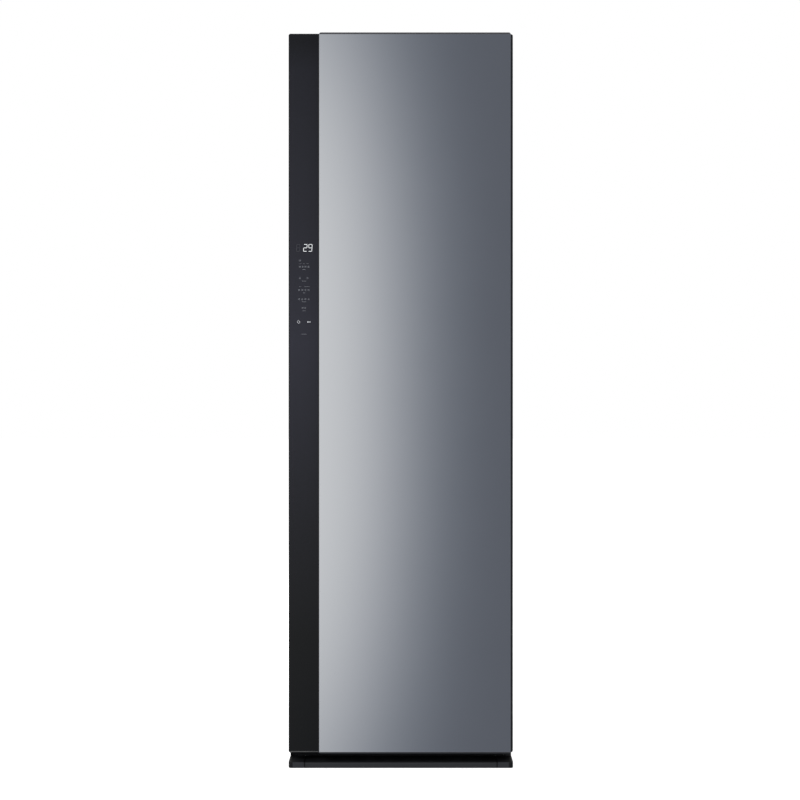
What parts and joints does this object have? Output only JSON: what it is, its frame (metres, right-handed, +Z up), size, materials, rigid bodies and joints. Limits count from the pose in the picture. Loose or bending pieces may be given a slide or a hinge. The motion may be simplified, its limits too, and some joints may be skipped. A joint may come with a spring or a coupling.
{
  "type": "clothes care steam cabinet",
  "caption": "Tall free-standing clothes care steam cabinet with one mirrored door, a dark control strip, moving hanger, trouser press and two water tanks.",
  "frame": {"origin": "bottom centre of the bounding box, on the floor", "axes": "+Z up, the mirrored door faces -Y, +X to the right of someone facing the door"},
  "size_m": [0.6, 0.596, 1.96],
  "materials": {
    "mirror": "tinted mirror glass, grey-blue, flat and sharp",
    "control_glass": "gloss black glass over the display",
    "dark_trim": "moulded dark grey tray and trim, satin",
    "black_plastic": "moulded black plastic, fine texture",
    "dark_sheet": "painted sheet steel, satin, dark grey",
    "zinc_sheet": "galvanised sheet steel, dull",
    "steel": "bright steel",
    "aluminium": "bare aluminium",
    "liner_plastic": "moulded liner plastic, light grey, satin",
    "pale_plastic": "moulded pale plastic, satin",
    "rubber": "soft black rubber",
    "foam": "insulating foam, hidden",
    "felt": "felt pad, mid grey",
    "clear_plastic": "smoked clear plastic",
    "circuit_board": "circuit board, hidden",
    "black_enamel": "black enamel, semi-gloss",
    "copper": "bare copper pipe"
  },
  "bodies": {
    "root": {"base_pan": "zinc_sheet", "left_side_panel": "dark_sheet", "right_side_panel": "dark_sheet", "top_panel": "dark_sheet", "rear_panel": "zinc_sheet", "cord_inlet": "black_plastic", "kick_plate": "black_plastic", "kick_cap_left": "black_plastic", "kick_cap_right": "black_plastic", "base_grille": "black_plastic", "upper_hinge": "steel", "lower_hinge": "steel", "hinge_cover": "black_plastic", "chamber_liner": "liner_plastic", "riser_cover": "pale_plastic", "chamber_floor": "liner_plastic", "chamber_lamp": "clear_plastic", "hanger_rails": "zinc_sheet", "air_duct": "black_plastic", "evaporator": "aluminium", "condenser": "aluminium", "fan_scroll": "black_plastic", "fan_motor": "black_enamel", "compressor": "black_enamel", "steam_generator": "aluminium", "feed_pump": "black_plastic", "drain_pump": "black_plastic", "discharge_line": "copper", "control_box": "black_plastic", "tank_bay": "liner_plastic"},
    "door": {"door_shell": "black_plastic", "door_core": "foam", "door_liner": "pale_plastic", "door_gasket": "rubber", "mirror_frame": "dark_trim", "mirror_glass": "mirror", "control_glass": "control_glass", "control_board": "circuit_board", "press_pad": "felt", "trouser_clip": "black_plastic"},
    "press": {"press_plate": "liner_plastic"},
    "latch": {"press_latch": "black_plastic"},
    "jaw": {"clip_jaw": "steel"},
    "hanger": {"hanger_carriage": "steel", "hanger_bar": "aluminium", "shake_motor": "black_enamel"},
    "pinion": {"drive_pinion": "steel"},
    "weight_left": {"weight_gear_left": "steel"},
    "weight_right": {"weight_gear_right": "steel"},
    "fan": {"fan_wheel": "black_plastic"},
    "shelf": {"slatted_shelf": "pale_plastic"},
    "filter": {"lint_filter": "black_plastic"},
    "supply": {"supply_tank": "clear_plastic"},
    "supply_grip": {"supply_handle": "black_plastic"},
    "drain": {"drain_tank": "clear_plastic"},
    "drain_grip": {"drain_handle": "black_plastic"},
    "left_foot": {"foot_left": "black_plastic"},
    "right_foot": {"foot_right": "black_plastic"},
    "left_roller": {"roller_left": "rubber"},
    "right_roller": {"roller_right": "rubber"}
  },
  "joints": [
    {"name": "door_hinge", "type": "hinge", "parent": "root", "child": "door", "pos_m": [0.286, -0.26, 0.99], "axis": [0, 0, 1], "range_deg": [0, 105]},
    {"name": "press_hinge", "type": "hinge", "parent": "door", "child": "press", "pos_m": [0.186, -0.2, 1.13], "axis": [0, 0, -1], "range_deg": [0, 90]},
    {"name": "latch_turn", "type": "hinge", "parent": "door", "child": "latch", "pos_m": [-0.19, -0.19, 1.13], "axis": [0, 1, 0], "range_deg": [0, 90]},
    {"name": "jaw_hinge", "type": "hinge", "parent": "door", "child": "jaw", "pos_m": [0, -0.199, 1.698], "axis": [1, 0, 0], "range_deg": [0, 40]},
    {"name": "hanger_shake", "type": "slide", "parent": "root", "child": "hanger", "axis": [1, 0, 0], "range_m": [-0.012, 0.012], "stiffness_N_per_m": 1500},
    {"name": "pinion_spin", "type": "hinge", "parent": "hanger", "child": "pinion", "pos_m": [-0.09, 0, 1.881], "axis": [0, 0, 1], "continuous": true},
    {"name": "left_weight_spin", "type": "hinge", "parent": "hanger", "child": "weight_left", "pos_m": [-0.036, 0, 1.881], "axis": [0, 0, 1], "continuous": true},
    {"name": "right_weight_spin", "type": "hinge", "parent": "hanger", "child": "weight_right", "pos_m": [0.036, 0, 1.881], "axis": [0, 0, 1], "continuous": true},
    {"name": "fan_spin", "type": "hinge", "parent": "root", "child": "fan", "pos_m": [-0.12, 0.18, 0.205], "axis": [0, 1, 0], "continuous": true},
    {"name": "shelf_slide", "type": "slide", "parent": "root", "child": "shelf", "axis": [0, -1, 0], "range_m": [0, 0.045]},
    {"name": "filter_lift", "type": "slide", "parent": "root", "child": "filter", "axis": [0, 0, 1], "range_m": [0, 0.06]},
    {"name": "supply_slide", "type": "slide", "parent": "root", "child": "supply", "axis": [0, -1, 0], "range_m": [0, 0.055]},
    {"name": "drain_slide", "type": "slide", "parent": "root", "child": "drain", "axis": [0, -1, 0], "range_m": [0, 0.055]},
    {"name": "supply_grip_fold", "type": "hinge", "parent": "supply", "child": "supply_grip", "pos_m": [0.125, -0.16, 0.2913], "axis": [-1, 0, 0], "range_deg": [0, 75]},
    {"name": "drain_grip_fold", "type": "hinge", "parent": "drain", "child": "drain_grip", "pos_m": [-0.125, -0.16, 0.2913], "axis": [-1, 0, 0], "range_deg": [0, 75]},
    {"name": "left_foot_screw", "type": "hinge", "parent": "root", "child": "left_foot", "pos_m": [-0.24, -0.195, 0], "axis": [0, 0, 1], "continuous": true},
    {"name": "right_foot_screw", "type": "hinge", "parent": "root", "child": "right_foot", "pos_m": [0.24, -0.195, 0], "axis": [0, 0, 1], "continuous": true},
    {"name": "left_roll", "type": "hinge", "parent": "root", "child": "left_roller", "pos_m": [-0.23, 0.2314, 0.014], "axis": [1, 0, 0], "continuous": true},
    {"name": "right_roll", "type": "hinge", "parent": "root", "child": "right_roller", "pos_m": [0.23, 0.2314, 0.014], "axis": [1, 0, 0], "continuous": true}
  ],
  "couplings": [
    {"joint": "left_weight_spin", "follows": "pinion_spin", "ratio": -0.5},
    {"joint": "right_weight_spin", "follows": "pinion_spin", "ratio": 0.5}
  ]
}
